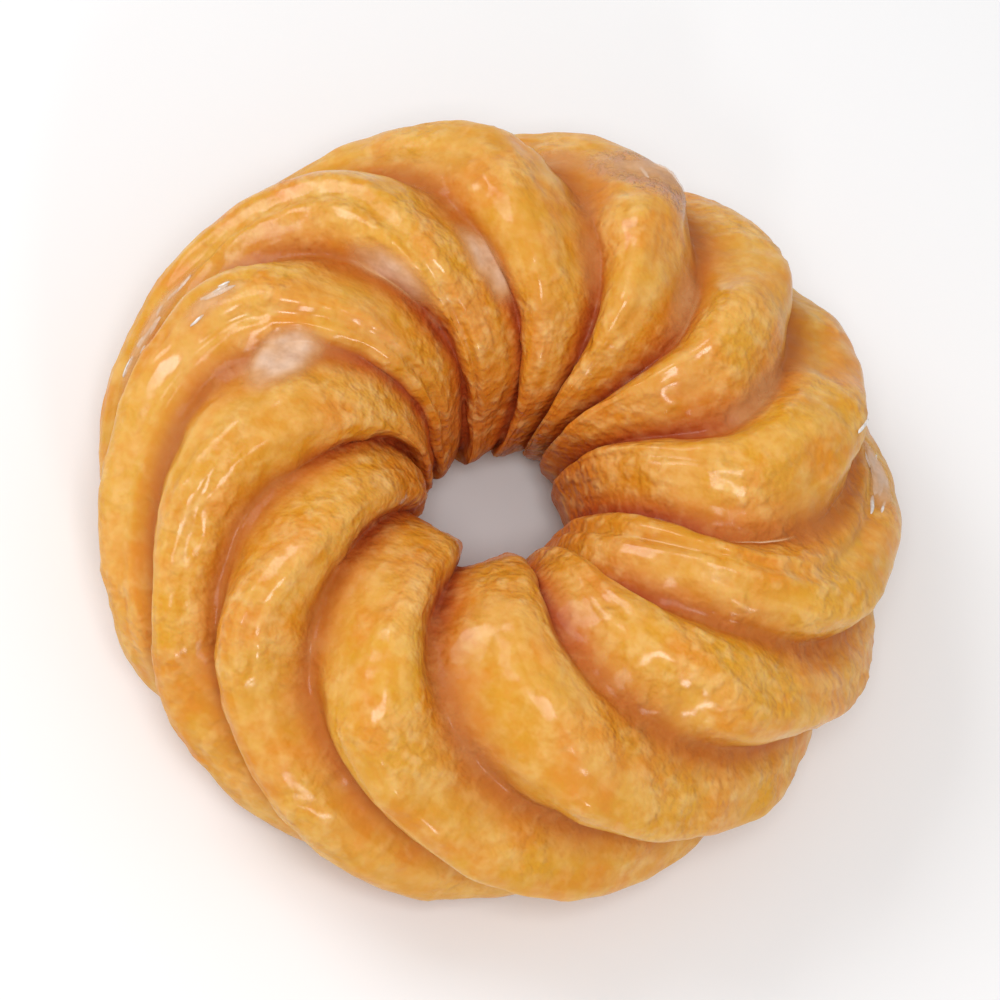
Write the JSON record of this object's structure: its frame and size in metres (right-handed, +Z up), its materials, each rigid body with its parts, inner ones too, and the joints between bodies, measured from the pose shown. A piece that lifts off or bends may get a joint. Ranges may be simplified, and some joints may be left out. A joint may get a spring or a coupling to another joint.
{
  "type": "cruller doughnut",
  "caption": "Ring of fried choux dough with curved, overlapping ridges that fan out from a small lobed hole, under a thin clear sugar glaze.",
  "frame": {"origin": "centre of the bottom face of the bounding box, on the surface that the ring rests on", "axes": "+Z up along the hole; +X and +Y in the plane of the ring, with a furrow crossing the crown about 10 degrees counter-clockwise from +X"},
  "size_m": [0.0878, 0.0882, 0.0329],
  "materials": {
    "glazed_crust": "satin"
  },
  "bodies": {
    "root": {"cruller": "glazed_crust"}
  },
  "joints": []
}
